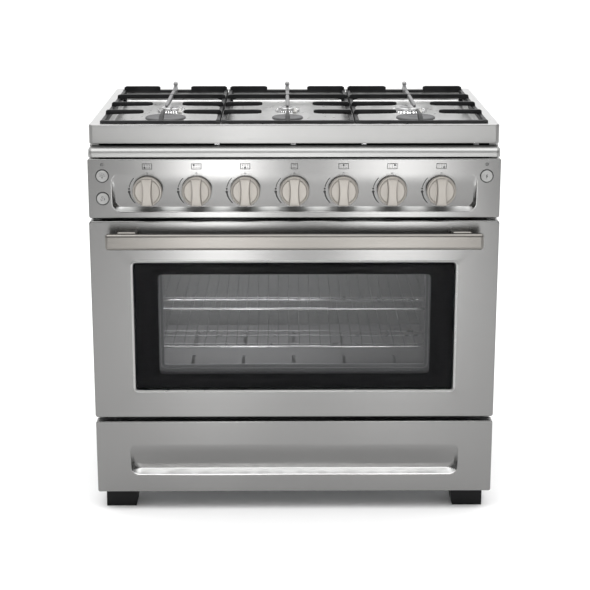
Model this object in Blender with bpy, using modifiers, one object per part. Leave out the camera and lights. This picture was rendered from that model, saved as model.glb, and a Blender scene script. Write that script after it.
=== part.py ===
"""Freestanding gas range, 900 mm wide: six burners, three grates, one oven and one drawer.

Metres, +Z up. The origin is on the floor, in the middle of the range. The front faces -Y.
"""
import math

import bmesh
import bpy

# Driving dimensions
WIDTH = 0.900
HALF = WIDTH / 2
FRONT_Y = -0.285          # front face of the door and drawer
BACK_Y = 0.333            # rear edge of the cooktop
FOOT_TOP = 0.044
DRAWER_Z = (0.045, 0.215)
DOOR_Z = (0.225, 0.680)
PANEL_Z = (0.686, 0.817)
TRIM_Z = (0.820, 0.840)
RIM_Z = (0.845, 0.887)    # cooktop skirt, from its lower edge to the rim
WELL_Z = 0.860            # floor of the cooktop well
GRATE_Z = (0.888, 0.902)
POST_TOP = 0.914          # pan stops at the rear of the grates
GAP = 0.0004              # clearance between touching pieces
SHEET = 0.0012            # sheet steel
CORNER_STEPS = 3          # segments in a rounded corner
ROUND_STEPS = 20          # segments in a turned piece

# Cooktop
COOKTOP_FRONT = FRONT_Y + 0.038
WELL_X = 0.427
WELL_Y = (COOKTOP_FRONT + 0.013, BACK_Y - 0.040)
WELL_SLOPE = 0.004
BURNER_X = (-0.2935, -0.0143, 0.2793)
BURNER_ROWS = {"front": -0.077, "rear": 0.118}
CAP_RADIUS = {"front": (0.046, 0.0355, 0.0445), "rear": (0.027, 0.0225, 0.033)}
CAP_TOP = {"front": 0.879, "rear": 0.872}
GRATE_EDGES = ((-0.425, -0.162), (-0.160, 0.1315), (0.1335, 0.425))
GRATE_NAMES = ("left", "centre", "right")
GRATE_Y = (-0.232, 0.270)
BAR = 0.010               # width of a grate bar
CROSS_Y = 0.120           # full-width bar over the rear burners
LEG_INSET = 0.024         # from a grate's front or rear edge to its legs
SIDE_FINGERS = {"a": -0.128, "b": -0.006, "d": 0.238}
FINGER_GAPS = ({"a": 0.090, "b": 0.069, "d": 0.077},
               {"a": 0.117, "b": 0.117, "d": 0.100},
               {"a": 0.096, "b": 0.078, "d": 0.093})

# Control panel
PANEL_FRONT = FRONT_Y + 0.004
PANEL_BACK = -0.2365
RECESS_X = 0.397
RECESS_Z = (PANEL_Z[0] + 0.015, PANEL_Z[0] + 0.100)
RECESS_DEPTH = 0.012
KNOB_Z = PANEL_Z[0] + 0.061
KNOB_X = (-0.320, -0.213, -0.107, 0.0, 0.107, 0.213, 0.320)
KNOB_NAMES = ("knob_1", "knob_2", "knob_3", "knob_oven", "knob_4", "knob_5", "knob_6")
KNOB_RADIUS = 0.0325
KNOB_THICK = 0.014
GRIP_THICK = 0.012
GRIP_WAIST = 0.0082       # half the grip's width in the middle
GRIP_FLARE = 0.0028       # how much wider each side is at its ends
GRIP_STEPS = 6
SHAFT_RADIUS = 0.004
BUTTONS = {"button_light": (-0.418, PANEL_Z[0] + 0.094), "button_fan": (-0.418, PANEL_Z[0] + 0.044),
           "button_ignition": (0.419, PANEL_Z[0] + 0.093)}
BUTTON_RADIUS = 0.0125

# Door and handle
DOOR_BACK = -0.2455
HINGE_Y = -0.268
HINGE_Z = DOOR_Z[0] + 0.012
HINGE_X = 0.405
GLASS_X = 0.3555
GLASS_Z = (DOOR_Z[0] + 0.065, DOOR_Z[0] + 0.360)
WINDOW_X = 0.300
WINDOW_Z = (0.335, 0.562)
HANDLE_Z = DOOR_Z[0] + 0.418
HANDLE_X = 0.411
HANDLE_TALL = 0.036
HANDLE_Y = (-BACK_Y, -BACK_Y + 0.014)
HANDLE_POST_X = 0.365

# Oven
OVEN_X = 0.340
OVEN_Z = (0.262, 0.640)
OVEN_FRONT = -0.235
OVEN_BACK = 0.240
RACK_Z = {"rack_upper": 0.458, "rack_lower": 0.368}
RACK_X = 0.3290
RACK_Y = (-0.212, 0.190)
WIRE = 0.005

# Drawer
POCKET_X = 0.372
POCKET_Z = (DRAWER_Z[0] + 0.042, DRAWER_Z[0] + 0.116)
POCKET_DEPTH = 0.018
DRAWER_FRONT_DEPTH = 0.027

BODY_X = HALF - 0.0015    # outer face of the side panels
BODY_BACK = 0.318

COLOURS = {
    "steel": ((0.56, 0.56, 0.55), 0.32, 1.0),
    "bright_steel": ((0.80, 0.80, 0.79), 0.25, 1.0),
    "satin": ((0.72, 0.70, 0.66), 0.35, 1.0),
    "iron": ((0.02, 0.02, 0.02), 0.55, 0.0),
    "cap": ((0.13, 0.13, 0.14), 0.45, 0.0),
    "aluminium": ((0.78, 0.78, 0.78), 0.30, 1.0),
    "glass": ((0.02, 0.02, 0.02), 0.05, 0.0),
    "enamel": ((0.16, 0.16, 0.17), 0.35, 0.0),
    "black": ((0.02, 0.02, 0.02), 0.50, 0.0),
    "chrome": ((0.85, 0.85, 0.86), 0.12, 1.0),
    "galvanised": ((0.45, 0.46, 0.47), 0.45, 1.0),
    "seal": ((0.05, 0.05, 0.05), 0.80, 0.0),
    "brass": ((0.72, 0.53, 0.25), 0.35, 1.0),
    "lens": ((0.85, 0.86, 0.84), 0.10, 0.0),
}


def clear_scene():
    for obj in list(bpy.data.objects):
        bpy.data.objects.remove(obj, do_unlink=True)


def new_collection(name):
    made = bpy.data.collections.new(name)
    bpy.context.scene.collection.children.link(made)
    return made


clear_scene()
PARTS = new_collection("gas_range")
CUTTERS = new_collection("cutters")


def material(name, kind):
    colour, roughness, metallic = COLOURS[kind]
    made = bpy.data.materials.new(name)
    made.use_nodes = True
    shader = made.node_tree.nodes["Principled BSDF"]
    shader.inputs["Base Color"].default_value = (*colour, 1.0)
    shader.inputs["Roughness"].default_value = roughness
    shader.inputs["Metallic"].default_value = metallic
    return made


def add_part(name, data, kind, location=(0, 0, 0), turn=(0, 0, 0)):
    """A named piece of the range, with its own material."""
    obj = bpy.data.objects.new(name, data)
    obj.location = location
    obj.rotation_euler = turn
    data.materials.append(material(name, kind))
    PARTS.objects.link(obj)
    return obj


def add_cutter(name, mesh):
    """A shape that is cut from, or joined to, a piece."""
    obj = bpy.data.objects.new(name, mesh)
    obj.hide_render = True
    obj.display_type = "WIRE"
    CUTTERS.objects.link(obj)
    return obj


def boxes_mesh(name, boxes):
    """One mesh of separate boxes, each given by its lowest and highest corners."""
    bm = bmesh.new()
    for low, high in boxes:
        made = bmesh.ops.create_cube(bm, size=1.0)["verts"]
        size = [b - a for a, b in zip(low, high)]
        centre = [(a + b) / 2 for a, b in zip(low, high)]
        bmesh.ops.scale(bm, vec=size, verts=made)
        bmesh.ops.translate(bm, vec=centre, verts=made)
    mesh = bpy.data.meshes.new(name)
    bm.to_mesh(mesh)
    bm.free()
    return mesh


def box(name, low, high, kind, bevel=0.0):
    """A block whose origin is at its centre."""
    centre = [(a + b) / 2 for a, b in zip(low, high)]
    mesh = boxes_mesh(name, [([a - c for a, c in zip(low, centre)], [b - c for b, c in zip(high, centre)])])
    obj = add_part(name, mesh, kind, centre)
    if bevel:
        round_edges(obj, bevel)
    return obj


def round_edges(obj, width, segments=2):
    bevel = obj.modifiers.new("bevel", "BEVEL")
    bevel.width = width
    bevel.segments = segments
    bevel.limit_method = "ANGLE"


def boolean(obj, cutter, operation="DIFFERENCE"):
    cut = obj.modifiers.new(operation.lower(), "BOOLEAN")
    cut.operation = operation
    cut.object = cutter
    cut.solver = "EXACT"


def cylinders_mesh(name, places, radius, length, steps=16):
    """Cylinders along Y, one centred at each place."""
    bm = bmesh.new()
    for place in places:
        made = bmesh.ops.create_cone(bm, cap_ends=True, segments=steps, radius1=radius, radius2=radius,
                                     depth=length)["verts"]
        for vert in made:
            x, y, z = vert.co
            vert.co = (x + place[0], -z + place[1], y + place[2])
    mesh = bpy.data.meshes.new(name)
    bm.to_mesh(mesh)
    bm.free()
    return mesh


def ring(u, v, radius):
    """Rounded rectangle from u[0] to u[1] and v[0] to v[1], anticlockwise."""
    centres = ((u[1] - radius, v[1] - radius), (u[0] + radius, v[1] - radius),
               (u[0] + radius, v[0] + radius), (u[1] - radius, v[0] + radius))
    points = []
    for quarter, (cu, cv) in enumerate(centres):
        for step in range(CORNER_STEPS + 1):
            angle = math.radians(90 * (quarter + step / CORNER_STEPS))
            points.append((cu + radius * math.cos(angle), cv + radius * math.sin(angle)))
    return points


def upright(half_width, z, radius, y):
    """A ring that stands facing the front; y is a depth, or a function of height."""
    depth = y if callable(y) else (lambda height: y)
    return [(u, depth(v), v) for u, v in ring((-half_width, half_width), z, radius)]


def level(x, y, radius, z):
    """A ring that lies flat at height z."""
    return [(u, v, z) for u, v in ring(x, y, radius)]


def grow(z, amount):
    return (z[0] - amount, z[1] + amount)


def pressed(name, rings, kind, thickness=SHEET, closed=True, facing=1):
    """Sheet metal lofted through the rings, whose last one is filled when it is closed."""
    bm = bmesh.new()
    loops = [[bm.verts.new(point) for point in loop[::facing]] for loop in rings]
    for outer, inner in zip(loops, loops[1:]):
        for i in range(len(outer)):
            k = (i + 1) % len(outer)
            bm.faces.new((outer[i], outer[k], inner[k], inner[i]))
    if closed:
        bm.faces.new(loops[-1])
    mesh = bpy.data.meshes.new(name)
    bm.to_mesh(mesh)
    bm.free()
    obj = add_part(name, mesh, kind)
    solid = obj.modifiers.new("sheet", "SOLIDIFY")
    solid.thickness = thickness
    solid.offset = -1
    solid.use_even_offset = True
    return obj


def turned(name, profile, kind, location, turn=(0, 0, 0)):
    """A solid of revolution; the profile is (radius, height) from its top down to its base."""
    mesh = bpy.data.meshes.new(name)
    edges = [(i, i + 1) for i in range(len(profile) - 1)]
    mesh.from_pydata([(radius, 0, height) for radius, height in profile], edges, [])
    obj = add_part(name, mesh, kind, location, turn)
    screw = obj.modifiers.new("turn", "SCREW")
    screw.steps = screw.render_steps = ROUND_STEPS
    screw.use_merge_vertices = True
    screw.merge_threshold = 0.00001
    return obj


def plate(name, outlines, thickness, kind, location=(0, 0, 0), turn=(0, 0, 0)):
    """A flat piece: the first outline is its edge and the others are its holes."""
    curve = bpy.data.curves.new(name, "CURVE")
    curve.dimensions = "2D"
    curve.fill_mode = "BOTH"
    curve.extrude = thickness / 2
    for outline in outlines:
        spline = curve.splines.new("POLY")
        spline.points.add(len(outline) - 1)
        for point, (x, y) in zip(spline.points, outline):
            point.co = (x, y, 0, 1)
        spline.use_cyclic_u = True
    return add_part(name, curve, kind, location, turn)


def tube(name, points, radius, kind, cyclic=False):
    curve = bpy.data.curves.new(name, "CURVE")
    curve.dimensions = "3D"
    curve.bevel_depth = radius
    curve.bevel_resolution = 2
    curve.use_fill_caps = not cyclic
    spline = curve.splines.new("POLY")
    spline.points.add(len(points) - 1)
    for point, place in zip(spline.points, points):
        point.co = (*place, 1)
    spline.use_cyclic_u = cyclic
    return add_part(name, curve, kind)


def as_mesh(obj):
    """The same piece as a welded mesh, so that it can be joined to other shapes."""
    bpy.context.view_layer.update()
    evaluated = obj.evaluated_get(bpy.context.evaluated_depsgraph_get())
    mesh = bpy.data.meshes.new_from_object(evaluated)
    bm = bmesh.new()
    bm.from_mesh(mesh)
    bmesh.ops.remove_doubles(bm, verts=bm.verts, dist=0.00001)
    bm.to_mesh(mesh)
    bm.free()
    name = obj.name
    made = bpy.data.objects.new(name, mesh)
    made.matrix_world = obj.matrix_world
    bpy.data.objects.remove(obj, do_unlink=True)
    made.name = name
    PARTS.objects.link(made)
    return made


def hang_on(pivot_name, place, pieces):
    """Parents pieces to an empty on their joint's axis, without moving them."""
    pivot = bpy.data.objects.new(pivot_name, None)
    pivot.location = place
    PARTS.objects.link(pivot)
    for piece in pieces:
        piece.parent = pivot
        piece.location = [a - b for a, b in zip(piece.location, place)]


def rectangle(x0, x1, y0, y1):
    return [(x0, y0), (x1, y0), (x1, y1), (x0, y1)]


# Body

def side_panels():
    """Outer sides, with flanges turned in at the front and the back."""
    front, back, flange = OVEN_FRONT + 0.0022, BODY_BACK - 0.0006, 0.020
    z = (FOOT_TOP + 0.002, RIM_Z[0] - GAP)
    for name, side in (("side_panel_left", -1), ("side_panel_right", 1)):
        outer, inner, lip = BODY_X, BODY_X - SHEET, BODY_X - flange
        outline = [(outer, front), (outer, back), (lip, back), (lip, back - SHEET),
                   (inner, back - SHEET), (inner, front + SHEET), (lip, front + SHEET), (lip, front)]
        outline = [(side * x, y) for x, y in outline]
        plate(name, [outline], z[1] - z[0], "steel", (0, 0, sum(z) / 2))


def back_panel():
    """Rear cover, with cooling slots and a hole for the gas inlet."""
    half, z = BODY_X - 0.002, (0.060, 0.838)
    holes = []
    for row in range(4):
        for side in (-1, 1):
            slot_x, slot_z = side * 0.18, 0.70 + 0.022 * row
            holes.append(rectangle(slot_x - 0.07, slot_x + 0.07, slot_z, slot_z + 0.007))
    holes.append(ring((INLET_X - 0.013, INLET_X + 0.013), (INLET_Z - 0.013, INLET_Z + 0.013), 0.0129))
    outline = rectangle(-half, half, *z)
    plate("back_panel", [outline] + holes, SHEET, "galvanised", (0, BODY_BACK + SHEET / 2, 0),
          (math.radians(90), 0, 0))


def base_pan():
    x, y, low = 0.440, (-0.230, 0.312), FOOT_TOP + 0.0015
    rings = [level((-x, x), y, 0.004, low + 0.010), level((-x, x), y, 0.004, low)]
    pressed("base_pan", rings, "galvanised", facing=1, thickness=0.0010)


def feet():
    half, tall, deep = 0.037, FOOT_TOP, 0.060
    for side_name, side in (("left", -1), ("right", 1)):
        for end_name, y in (("front", -0.260), ("rear", 0.235)):
            foot = box(f"foot_{end_name}_{side_name}", (side * 0.396 - half, y, 0),
                       (side * 0.396 + half, y + deep, tall), "black")
            for vert in foot.data.vertices:
                if vert.co.z < 0 and vert.co.x * side < 0:
                    vert.co.x += side * 0.006


# Cooktop

def cooktop():
    """Pressed steel top: skirt, rim and recessed well with a hole under each burner."""
    edge, x, y = 0.0025, HALF - 0.001, (COOKTOP_FRONT, BACK_Y)
    well, floor = (-WELL_X, WELL_X), WELL_X - WELL_SLOPE
    rings = [level((-x, x), y, 0.008, RIM_Z[0]),
             level((-x, x), y, 0.008, RIM_Z[1] - edge),
             level((-x + edge, x - edge), (y[0] + edge, y[1] - edge), 0.006, RIM_Z[1]),
             level(well, WELL_Y, 0.014, RIM_Z[1]),
             level((-floor, floor), (WELL_Y[0] + WELL_SLOPE, WELL_Y[1] - WELL_SLOPE), 0.012, WELL_Z)]
    top = pressed("cooktop", rings, "bright_steel", thickness=0.0015)
    bm = bmesh.new()
    for x in BURNER_X:
        for y in BURNER_ROWS.values():
            made = bmesh.ops.create_cone(bm, cap_ends=True, segments=16, radius1=0.0205, radius2=0.0205,
                                         depth=0.02)["verts"]
            bmesh.ops.translate(bm, vec=(x, y, WELL_Z), verts=made)
    mesh = bpy.data.meshes.new("burner_holes")
    bm.to_mesh(mesh)
    bm.free()
    boolean(top, add_cutter("burner_holes", mesh))


def burners():
    """A flame head on its mixing cup, and a loose cap, at each of six places."""
    for row, y in BURNER_ROWS.items():
        for name, x, radius in zip(GRATE_NAMES, BURNER_X, CAP_RADIUS[row]):
            top = CAP_TOP[row] - 0.006
            dish = radius * 1.20
            head = radius * 0.90
            profile = [(0, top), (head, top), (head, top - 0.004), (head + 0.002, WELL_Z + 0.004),
                       (dish, WELL_Z + 0.0025), (dish, WELL_Z + GAP), (0.019, WELL_Z + GAP), (0.017, 0.835),
                       (0, 0.835)]
            turned(f"burner_head_{row}_{name}", profile, "aluminium", (x, y, 0))
            cap = [(0, CAP_TOP[row]), (radius - 0.003, CAP_TOP[row]), (radius - 0.0006, CAP_TOP[row] - 0.0015),
                   (radius, CAP_TOP[row] - 0.003), (radius, top + GAP), (0, top + GAP)]
            turned(f"burner_cap_{row}_{name}", cap, "cap", (x, y, 0))


def comb(x, y, side_fingers, front, back):
    """Opening with fingers from both sides and, on its centre line, from the front and the back."""
    middle, half = sum(x) / 2, BAR / 2
    points = [(x[0], y[0])]
    points += [(middle - half, y[0]), (middle - half, y[0] + front), (middle + half, y[0] + front),
               (middle + half, y[0]), (x[1], y[0])]
    for place, length in side_fingers:
        points += [(x[1], place - half), (x[1] - length, place - half), (x[1] - length, place + half),
                   (x[1], place + half)]
    points += [(x[1], y[1]), (middle + half, y[1]), (middle + half, y[1] - back),
               (middle - half, y[1] - back), (middle - half, y[1]), (x[0], y[1])]
    for place, length in reversed(side_fingers):
        points += [(x[0], place + half), (x[0] + length, place + half), (x[0] + length, place - half),
                   (x[0], place - half)]
    return points


def grates():
    """Three cast-iron grates: frame, cross bar, fingers, four legs and a rear pan stop each."""
    for name, edges, gaps in zip(GRATE_NAMES, GRATE_EDGES, FINGER_GAPS):
        inner = (edges[0] + BAR, edges[1] - BAR)
        reach = {row: (inner[1] - inner[0] - gap) / 2 for row, gap in gaps.items()}
        front = comb(inner, (GRATE_Y[0] + BAR, CROSS_Y - BAR / 2),
                     [(SIDE_FINGERS["a"], reach["a"]), (SIDE_FINGERS["b"], reach["b"])], 0.115, 0.164)
        rear = comb(inner, (CROSS_Y + BAR / 2, GRATE_Y[1] - 0.012), [(SIDE_FINGERS["d"], reach["d"])],
                    0.070, 0.028)
        middle = sum(edges) / 2
        outlines = [rectangle(*edges, *GRATE_Y), front, rear]
        flat = plate(f"grate_{name}", outlines, GRATE_Z[1] - GRATE_Z[0], "iron", (0, 0, sum(GRATE_Z) / 2))
        grate = as_mesh(flat)
        leg, low, top = 0.008, WELL_Z + GAP, GRATE_Z[0] + 0.004
        shapes = []
        for x in (edges[0] + 0.003, edges[1] - 0.003 - leg):
            for y in (GRATE_Y[0] + LEG_INSET, GRATE_Y[1] - LEG_INSET - leg):
                shapes.append(((x, y, low), (x + leg, y + leg, top)))
        stop_y = GRATE_Y[1] - 0.010
        shapes.append(((middle - 0.015, stop_y, GRATE_Z[1] - 0.006), (middle + 0.015, stop_y + 0.008, POST_TOP)))
        boolean(grate, add_cutter(f"grate_{name}_legs", boxes_mesh("legs", shapes)), "UNION")


# Control panel

def trim_strip():
    """Channel with a rounded upper edge, between the cooktop and the control panel."""
    front, back, radius, steps = FRONT_Y + 0.009, -0.237, 0.012, 4
    low, high = TRIM_Z
    outline = [(back, low), (front, low)]
    outline += [(front + radius * (1 - math.cos(math.radians(90 * k / steps))),
                 high - radius * (1 - math.sin(math.radians(90 * k / steps)))) for k in range(steps + 1)]
    outline += [(back, high), (back, high - SHEET)]
    inner = radius - SHEET
    outline += [(front + SHEET + inner * (1 - math.cos(math.radians(90 * k / steps))),
                 high - SHEET - inner * (1 - math.sin(math.radians(90 * k / steps))))
                for k in range(steps, -1, -1)]
    outline += [(front + SHEET, low + SHEET), (back, low + SHEET)]
    plate("trim_strip", [outline], WIDTH - 0.002, "steel", (0, 0, 0),
          (math.radians(90), 0, math.radians(90)))


def wedge(z, depth, face):
    """Depth of a recess that is flush at its upper edge and deepest at its lower edge."""
    return lambda height: face + depth * (z[1] + 0.001 - height) / (z[1] - z[0])


def fronted(name, z, face, back, pocket_x, pocket_z, depth, corner):
    """Panel with turned-back edges and a wedge-shaped recess across its face."""
    edge, half, taper = 0.0015, HALF - 0.0005, depth * 0.6
    low = (pocket_z[0] + taper, pocket_z[1] - 0.0008)
    rings = [upright(half, z, 0.004, back), upright(half, z, 0.004, face + edge),
             upright(half - edge, grow(z, -edge), 0.003, face),
             upright(pocket_x, pocket_z, corner, face),
             upright(pocket_x - taper, low, corner * 0.8, wedge(low, depth, face))]
    return pressed(name, rings, "steel")


def control_panel():
    panel = fronted("control_panel", PANEL_Z, PANEL_FRONT, PANEL_BACK, RECESS_X, RECESS_Z, RECESS_DEPTH, 0.020)
    middle = (PANEL_FRONT + PANEL_BACK) / 2
    stems = [(x, middle, KNOB_Z) for x in KNOB_X]
    boolean(panel, add_cutter("stem_holes", cylinders_mesh("stem_holes", stems, 0.006, 0.06, 12)))
    places = [(x, middle, z) for x, z in BUTTONS.values()]
    holes = cylinders_mesh("button_holes", places, BUTTON_RADIUS + 0.0006, 0.06, ROUND_STEPS)
    boolean(panel, add_cutter("button_holes", holes))


def waisted_grip(front, back):
    """Upright bar across a knob, narrower in the middle than at its ends."""
    reach = KNOB_RADIUS - 0.002
    bm = bmesh.new()
    sections = []
    for step in range(GRIP_STEPS + 1):
        share = 2 * step / GRIP_STEPS - 1
        half = GRIP_WAIST + GRIP_FLARE * share * share
        corners = ((-half, front), (half, front), (half, back), (-half, back))
        sections.append([bm.verts.new((x, y, share * reach)) for x, y in corners])
    for lower, upper in zip(sections, sections[1:]):
        for k in range(4):
            n = (k + 1) % 4
            bm.faces.new((lower[k], lower[n], upper[n], upper[k]))
    bm.faces.new(list(reversed(sections[0])))
    bm.faces.new(sections[-1])
    made = bpy.data.meshes.new("grip")
    bm.to_mesh(made)
    bm.free()
    return made


def knobs():
    """Seven turned knobs, each with a raised grip bar and a shaft into its valve."""
    back = PANEL_FRONT - 0.001
    rear_end = (VALVE_FRONT - GAP) - back
    for name, x in zip(KNOB_NAMES, KNOB_X):
        profile = [(0, KNOB_THICK), (KNOB_RADIUS - 0.004, KNOB_THICK), (KNOB_RADIUS - 0.0015, KNOB_THICK - 0.002),
                   (KNOB_RADIUS, 0.001), (KNOB_RADIUS, 0), (SHAFT_RADIUS, 0), (SHAFT_RADIUS, -rear_end),
                   (0, -rear_end)]
        knob = turned(name, profile, "satin", (x, back, KNOB_Z), (math.radians(90), 0, 0))
        front = back - KNOB_THICK - GRIP_THICK
        grip_bar = add_cutter(f"{name}_grip", waisted_grip(front, back - KNOB_THICK + 0.003))
        grip_bar.location = (x, 0, KNOB_Z)
        round_edges(grip_bar, 0.0025, 1)
        boolean(knob, grip_bar, "UNION")


def buttons():
    for name, (x, z) in BUTTONS.items():
        length = 0.012
        profile = [(0, 0.004), (BUTTON_RADIUS - 0.0015, 0.004), (BUTTON_RADIUS, 0.0025),
                   (BUTTON_RADIUS, 0.004 - length), (0, 0.004 - length)]
        turned(name, profile, "satin", (x, PANEL_FRONT, z), (math.radians(90), 0, 0))


# Gas supply

VALVE_FRONT = -0.2605
MANIFOLD_Y = -0.228
INLET_X = 0.412
INLET_Z = KNOB_Z - 0.012


def gas_manifold():
    """Supply pipe from the rear inlet, along the right side and across the front, with its valves."""
    radius, bend, steps = 0.008, 0.030, 4
    corner = (INLET_X - bend, MANIFOLD_Y + bend)
    points = [(KNOB_X[0] - 0.03, MANIFOLD_Y, INLET_Z)]
    for k in range(steps + 1):
        angle = math.radians(-90 + 90 * k / steps)
        points.append((corner[0] + bend * math.cos(angle), corner[1] + bend * math.sin(angle), INLET_Z))
    points.append((INLET_X, BACK_Y - 0.001, INLET_Z))
    manifold = as_mesh(tube("gas_manifold", points, radius, "brass"))
    half = 0.013
    valves = [((x - half, VALVE_FRONT, KNOB_Z - half), (x + half, MANIFOLD_Y + 0.004, KNOB_Z + half))
              for x in KNOB_X]
    boolean(manifold, add_cutter("valves", boxes_mesh("valves", valves)), "UNION")


# Door

def hinge_notches():
    """Room in the door for the hinge arms, behind and below the pivot."""
    return [((side * HINGE_X - 0.009, HINGE_Y - 0.010, DOOR_Z[0] - 0.010),
             (side * HINGE_X + 0.009, OVEN_FRONT + 0.005, HINGE_Z + 0.010)) for side in (-1, 1)]


def door():
    edge, bead = 0.0020, grow(GLASS_Z, 0.0085)
    rings = [upright(HALF, DOOR_Z, 0.005, DOOR_BACK - 0.001),
             upright(HALF, DOOR_Z, 0.005, FRONT_Y + edge),
             upright(HALF - edge, grow(DOOR_Z, -edge), 0.004, FRONT_Y),
             upright(GLASS_X + 0.0085, bead, 0.012, FRONT_Y),
             upright(GLASS_X + 0.0062, grow(bead, -0.0023), 0.010, FRONT_Y - 0.0018),
             upright(GLASS_X + 0.0035, grow(bead, -0.0050), 0.008, FRONT_Y - 0.0018),
             upright(GLASS_X + 0.0010, grow(bead, -0.0075), 0.006, FRONT_Y + 0.0050)]
    skin = pressed("door_skin", rings, "steel", closed=False)
    glass = box("door_glass", (-GLASS_X, FRONT_Y + 0.0018, GLASS_Z[0] + 0.0005),
                (GLASS_X, FRONT_Y + 0.0058, GLASS_Z[1] - 0.0005), "glass")
    round_upright(glass, 0.008)
    inset = SHEET + 0.0006
    outer, outer_z = HALF - inset, grow(DOOR_Z, -inset)
    rings = [upright(outer, outer_z, 0.004, -0.262), upright(outer, outer_z, 0.004, DOOR_BACK),
             upright(WINDOW_X, WINDOW_Z, 0.010, DOOR_BACK), upright(WINDOW_X, WINDOW_Z, 0.010, -0.262)]
    inner = pressed("door_inner_panel", rings, "enamel", closed=False, facing=-1)
    clear = 0.0008
    pane = box("door_inner_glass", (-WINDOW_X + clear, -0.2570, WINDOW_Z[0] + clear),
               (WINDOW_X - clear, -0.2530, WINDOW_Z[1] - clear), "glass")
    round_upright(pane, 0.010)
    for piece, cutter_name in ((skin, "skin_notches"), (inner, "inner_notches")):
        boolean(piece, add_cutter(cutter_name, boxes_mesh(cutter_name, hinge_notches())))
    hang_on("door_hinge_axis", (0, HINGE_Y, HINGE_Z), [skin, glass, inner, pane] + handle())


def round_upright(obj, width):
    """Rounds only the edges of a pane that run through its thickness."""
    mesh = obj.data
    weight = mesh.attributes.new("bevel_weight_edge", "FLOAT", "EDGE")
    for edge in mesh.edges:
        a, b = (mesh.vertices[i].co for i in edge.vertices)
        weight.data[edge.index].value = 1.0 if abs(a.y - b.y) > 0.001 else 0.0
    bevel = obj.modifiers.new("bevel", "BEVEL")
    bevel.width = width
    bevel.segments = 3
    bevel.limit_method = "WEIGHT"


def handle():
    """Flat bar on two posts."""
    half = HANDLE_TALL / 2
    bar = box("handle_bar", (-HANDLE_X, HANDLE_Y[0], HANDLE_Z - half), (HANDLE_X, HANDLE_Y[1], HANDLE_Z + half),
              "satin", 0.006)
    pieces = [bar]
    for name, side in (("handle_post_left", -1), ("handle_post_right", 1)):
        x = side * HANDLE_POST_X
        pieces.append(box(name, (x - 0.022, HANDLE_Y[1] + GAP, HANDLE_Z - 0.020),
                          (x + 0.022, FRONT_Y - GAP, HANDLE_Z + 0.020), "satin", 0.004))
    return pieces


def door_hinges():
    """Arms fixed in the oven front, with a pin on the door's axis at their free end."""
    eye, end = 0.007, OVEN_FRONT + 0.045
    outline = [(HINGE_Y + eye * math.cos(math.radians(a)), HINGE_Z + eye * math.sin(math.radians(a)))
               for a in range(90, 271, 30)]
    outline += [(end, HINGE_Z - eye), (end, HINGE_Z + eye)]
    for name, side in (("door_hinge_left", -1), ("door_hinge_right", 1)):
        arm = as_mesh(plate(name, [outline], 0.006, "galvanised", (side * HINGE_X, 0, 0),
                            (math.radians(90), 0, math.radians(90))))
        bm = bmesh.new()
        bmesh.ops.create_cone(bm, cap_ends=True, segments=12, radius1=0.004, radius2=0.004, depth=0.014)
        pin = bpy.data.meshes.new("pin")
        bm.to_mesh(pin)
        bm.free()
        cutter = add_cutter(f"{name}_pin", pin)
        cutter.location = (side * HINGE_X, HINGE_Y, HINGE_Z)
        cutter.rotation_euler = (0, math.radians(90), 0)
        boolean(arm, cutter, "UNION")


# Oven

def oven_liner():
    """Enamelled cavity with the front frame that the door closes on."""
    frame = (0.219, 0.683)
    rings = [upright(BODY_X - 0.002, frame, 0.004, OVEN_FRONT), upright(OVEN_X, OVEN_Z, 0.016, OVEN_FRONT),
             upright(OVEN_X, OVEN_Z, 0.016, OVEN_BACK - 0.010),
             upright(OVEN_X - 0.010, grow(OVEN_Z, -0.010), 0.010, OVEN_BACK)]
    liner = pressed("oven_liner", rings, "enamel")
    slots = [((side * HINGE_X - 0.006, OVEN_FRONT - 0.01, HINGE_Z - 0.010),
              (side * HINGE_X + 0.006, OVEN_FRONT + 0.01, HINGE_Z + 0.010)) for side in (-1, 1)]
    boolean(liner, add_cutter("hinge_slots", boxes_mesh("hinge_slots", slots)))


def oven_gasket():
    radius = 0.0045
    points = upright(OVEN_X + 0.012, grow(OVEN_Z, 0.012), 0.025, OVEN_FRONT - GAP - radius)
    tube("oven_gasket", points, radius, "seal", cyclic=True)


def racks():
    """Chrome wire racks: a frame with bars from front to back and one across the middle."""
    columns, middle = 10, sum(RACK_Y) / 2
    pitch = (2 * RACK_X - WIRE) / columns
    holes = []
    for column in range(columns):
        x = -RACK_X + WIRE + pitch * column
        for low, high in ((RACK_Y[0] + WIRE, middle - WIRE / 2), (middle + WIRE / 2, RACK_Y[1] - WIRE)):
            holes.append(rectangle(x, x + pitch - WIRE, low, high))
    for name, z in RACK_Z.items():
        plate(name, [rectangle(-RACK_X, RACK_X, *RACK_Y)] + holes, WIRE, "chrome", (0, 0, z))


def rack_ladders():
    """Wire side frames that guide the racks."""
    y, z, rungs = RACK_Y, (0.310, 0.600), 6
    pitch = (z[1] - z[0] - WIRE) / rungs
    holes = [rectangle(y[0] + WIRE, y[1] - WIRE, z[0] + WIRE + pitch * k, z[0] + pitch * (k + 1))
             for k in range(rungs)]
    outlines = [rectangle(*y, *z)] + holes
    x = (RACK_X + OVEN_X) / 2
    for name, side in (("rack_ladder_left", -1), ("rack_ladder_right", 1)):
        plate(name, outlines, WIRE, "chrome", (side * x, 0, 0), (math.radians(90), 0, math.radians(90)))


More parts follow.
